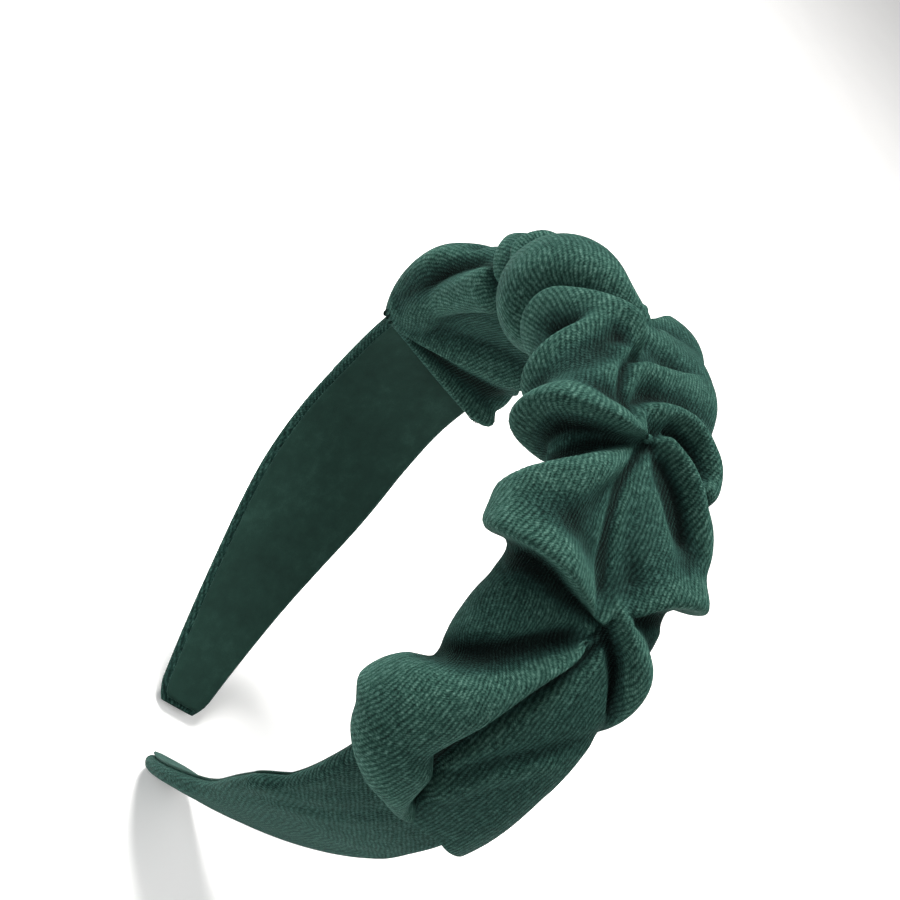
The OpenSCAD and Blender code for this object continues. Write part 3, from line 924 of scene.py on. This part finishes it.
def strand(path, ups, phase):
    """One ply of a thread, wound round a path: vertices and faces of a closed tube."""
    along_path = np.gradient(path, axis=0)
    along_path /= np.linalg.norm(along_path, axis=1)[:, None]
    across_path = np.cross(along_path, ups)
    across_path /= np.linalg.norm(across_path, axis=1)[:, None]
    upright = np.cross(across_path, along_path)
    wound = phase + np.arange(len(path)) * PLY_TWIST
    centre = path + THREAD_R * MM * (np.cos(wound)[:, None] * across_path
                                     + np.sin(wound)[:, None] * upright)
    turn = np.arange(THREAD_SIDES) * 2 * np.pi / THREAD_SIDES
    slim = THREAD_R * MM * np.sin(np.linspace(0.25, np.pi - 0.25, len(path))) ** 0.3
    ring = (np.cos(turn)[None, :, None] * across_path[:, None]
            + np.sin(turn)[None, :, None] * upright[:, None]) * slim[:, None, None]
    corners = (centre[:, None] + ring).reshape(-1, 3).tolist()
    faces = []
    for i in range(len(path) - 1):
        for j in range(THREAD_SIDES):
            k = (j + 1) % THREAD_SIDES
            faces.append((i * THREAD_SIDES + j, i * THREAD_SIDES + k,
                          (i + 1) * THREAD_SIDES + k, (i + 1) * THREAD_SIDES + j))
    faces.append(tuple(range(THREAD_SIDES))[::-1])
    faces.append(tuple((len(path) - 1) * THREAD_SIDES + j for j in range(THREAD_SIDES)))
    return corners, faces


def stitched(name, passes):
    """A piece made of many passes of two-ply thread, each a (path, ups) pair."""
    corners, faces = [], []
    for path, ups in passes:
        for phase in (0, math.pi):
            more, sides = strand(path, ups, phase)
            faces += [tuple(n + len(corners) for n in side) for side in sides]
            corners += more
    mesh = bpy.data.meshes.new(name)
    mesh.from_pydata(corners, [], faces)
    piece = bpy.data.objects.new(name, mesh)
    bpy.context.scene.collection.objects.link(piece)
    close_up(piece, 0.000002)
    return piece


def on_sleeve(angle, w):
    """The folded sleeve's outer face at an angle and place round it, and the way it faces."""
    column = (w / HALF_ROUND + 1) / 2 * SLEEVE_CELLS_ROUND
    hems = [np.interp(w, *zip(*hem)) for hem in (FAR_HEM, NEAR_HEM)]
    row = (angle - hems[0]) / (hems[1] - hems[0]) * SLEEVE_CELLS_LONG
    i = int(np.clip(row, 1, SLEEVE_CELLS_LONG - 1))
    j = int(np.clip(column, 1, SLEEVE_CELLS_ROUND - 1))
    facing = np.cross(points[i + 1, j] - points[i - 1, j], points[i, j + 1] - points[i, j - 1])
    return points[i, j], facing / np.linalg.norm(facing)


thread = sewing_thread()
passes = []
for tack_angle, tack_w in TACKS:
    for n in TACK_PASSES:
        angle = tack_angle + n * THREAD_PITCH / MM_PER_DEGREE
        laid = np.array([on_sleeve(angle, tack_w + w)[0]
                         for w in np.linspace(-TACK_HALF_L, TACK_HALF_L, TACK_POINTS)])
        lift = np.array([math.sin(math.radians(angle)), 0, math.cos(math.radians(angle))])
        share = np.linspace(0, TACK_POINTS - 1, THREAD_STEPS)
        path = np.stack([np.interp(share, range(TACK_POINTS), laid[:, axis]) for axis in range(3)], 1)
        path = path + lift * THREAD_LIFT * MM
        passes.append((path, np.tile(lift, (THREAD_STEPS, 1))))
centre_tacks = stitched("centre_stitching", passes)
centre_tacks.data.materials.append(thread)
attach(centre_tacks, "root")
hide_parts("centre_tacks")


# ---- End tacks -----------------------------------------------------------------------------
# Three short stitches over the sleeve's hem at each of its four corners, where it is caught
# to the side of the wrapped band.

# Each stitch starts inside the hem (degrees), arches over it and ends below it (mm)
CORNERS_W = (-23, 23)
HELD_INSIDE = 2.4
HEM_INSIDE = 0.2
ARCH = 0.9
SINK = 0.6
END_LIFT = 0.1

passes = []
for hem_angle, inward in ((NEAR_HEM, -1), (FAR_HEM, 1)):
    for corner_w in CORNERS_W:
        hem_at = np.interp(corner_w, *zip(*hem_angle))
        for n in TACK_PASSES:
            w = corner_w + n * THREAD_PITCH
            held, facing = on_sleeve(hem_at + HELD_INSIDE * inward, w)
            edge, edge_facing = on_sleeve(hem_at + HEM_INSIDE * inward, w)
            over = edge + edge_facing * ARCH * MM
            beyond = edge + (edge - held) / 2 - edge_facing * SINK * MM
            share = np.linspace(0, 1, THREAD_STEPS)[:, None]
            path = (1 - share) ** 2 * held + 2 * share * (1 - share) * over + share ** 2 * beyond
            path = path + facing * END_LIFT * MM
            passes.append((path, np.tile(facing, (THREAD_STEPS, 1))))
end_tacks = stitched("end_stitching", passes)
end_tacks.data.materials.append(thread)
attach(end_tacks, "root")
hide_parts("end_tacks")


# ---- Camera, light and floor ---------------------------------------------------------------
# A three-quarter view from above one arm, tipped over so that the band lies across the frame,
# in plain soft studio light over a pale floor.

CAMERA_AT = Vector((0.276575, -0.189262, 0.204159))
CAMERA_RIGHT = Vector((0.005, 0.721, 0.693))
CAMERA_BACK = Vector((0.744, -0.466, 0.479)).normalized()
LENS = 72.0
ROOM_LIGHT = 0.13
FLOOR_HALF_W = 3
FLOOR_GAP = 0.0005
FLOOR_GLOW = 0.22

camera_data = bpy.data.cameras.new("camera")
camera_data.lens = LENS
camera_data.sensor_width = 36
camera = bpy.data.objects.new("camera", camera_data)
camera_up = CAMERA_BACK.cross(CAMERA_RIGHT).normalized()
camera_right = camera_up.cross(CAMERA_BACK)
turned = Matrix((camera_right, camera_up, CAMERA_BACK)).transposed()
camera.matrix_world = Matrix.Translation(CAMERA_AT) @ turned.to_4x4()
bpy.context.scene.collection.objects.link(camera)
bpy.context.scene.camera = camera


def area_light(name, right, up, back, size, watts, colour):
    """A soft box placed by how far right of, above and towards the viewer it stands."""
    data = bpy.data.lights.new(name, "AREA")
    data.shape = "DISK"
    data.size = size
    data.energy = watts
    data.color = colour
    light = bpy.data.objects.new(name, data)
    place = camera_right * right + camera_up * up + CAMERA_BACK * back
    light.location = place
    light.rotation_mode = "QUATERNION"
    light.rotation_quaternion = place.to_track_quat("Z", "Y")
    bpy.context.scene.collection.objects.link(light)


area_light("key", 0.45, 0.80, 0.30, 0.50, 23.0, (1.0, 0.985, 0.96))
area_light("fill", -0.35, 0.55, 0.75, 0.5, 2.5, (0.95, 0.98, 1.0))
area_light("low fill", 0.80, -0.25, 0.45, 0.9, 5.5, (1.0, 0.99, 0.97))

world = bpy.data.worlds.new("studio")
bpy.context.scene.world = world
world.use_nodes = True
world.node_tree.nodes["Background"].inputs["Color"].default_value = (1, 1, 1, 1)
world.node_tree.nodes["Background"].inputs["Strength"].default_value = ROOM_LIGHT
bpy.context.scene.view_settings.view_transform = "Standard"

floor_form = bmesh.new()
bmesh.ops.create_grid(floor_form, x_segments=2, y_segments=2, size=FLOOR_HALF_W)
floor_mesh = bpy.data.meshes.new("floor")
floor_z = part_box("knit_wrap")[0].z - FLOOR_GAP
bmesh.ops.translate(floor_form, verts=floor_form.verts, vec=(0, 0, floor_z))
floor_form.to_mesh(floor_mesh)
floor_form.free()
floor = bpy.data.objects.new("floor", floor_mesh)
bpy.context.scene.collection.objects.link(floor)
floor_material, nodes, links, shader = new_material("pale_floor")
grain = noise_of(nodes, links, nodes.new("ShaderNodeTexCoord").outputs["Object"], 40, 3)
links.new(ramp(nodes, links, grain, [(0.3, (0.90, 0.90, 0.90)), (0.7, (0.93, 0.93, 0.93))]),
          shader.inputs["Base Color"])
shader.inputs["Emission Color"].default_value = (1, 1, 1, 1)
shader.inputs["Emission Strength"].default_value = FLOOR_GLOW
shader.inputs["Roughness"].default_value = 0.9
floor_mesh.materials.append(floor_material)
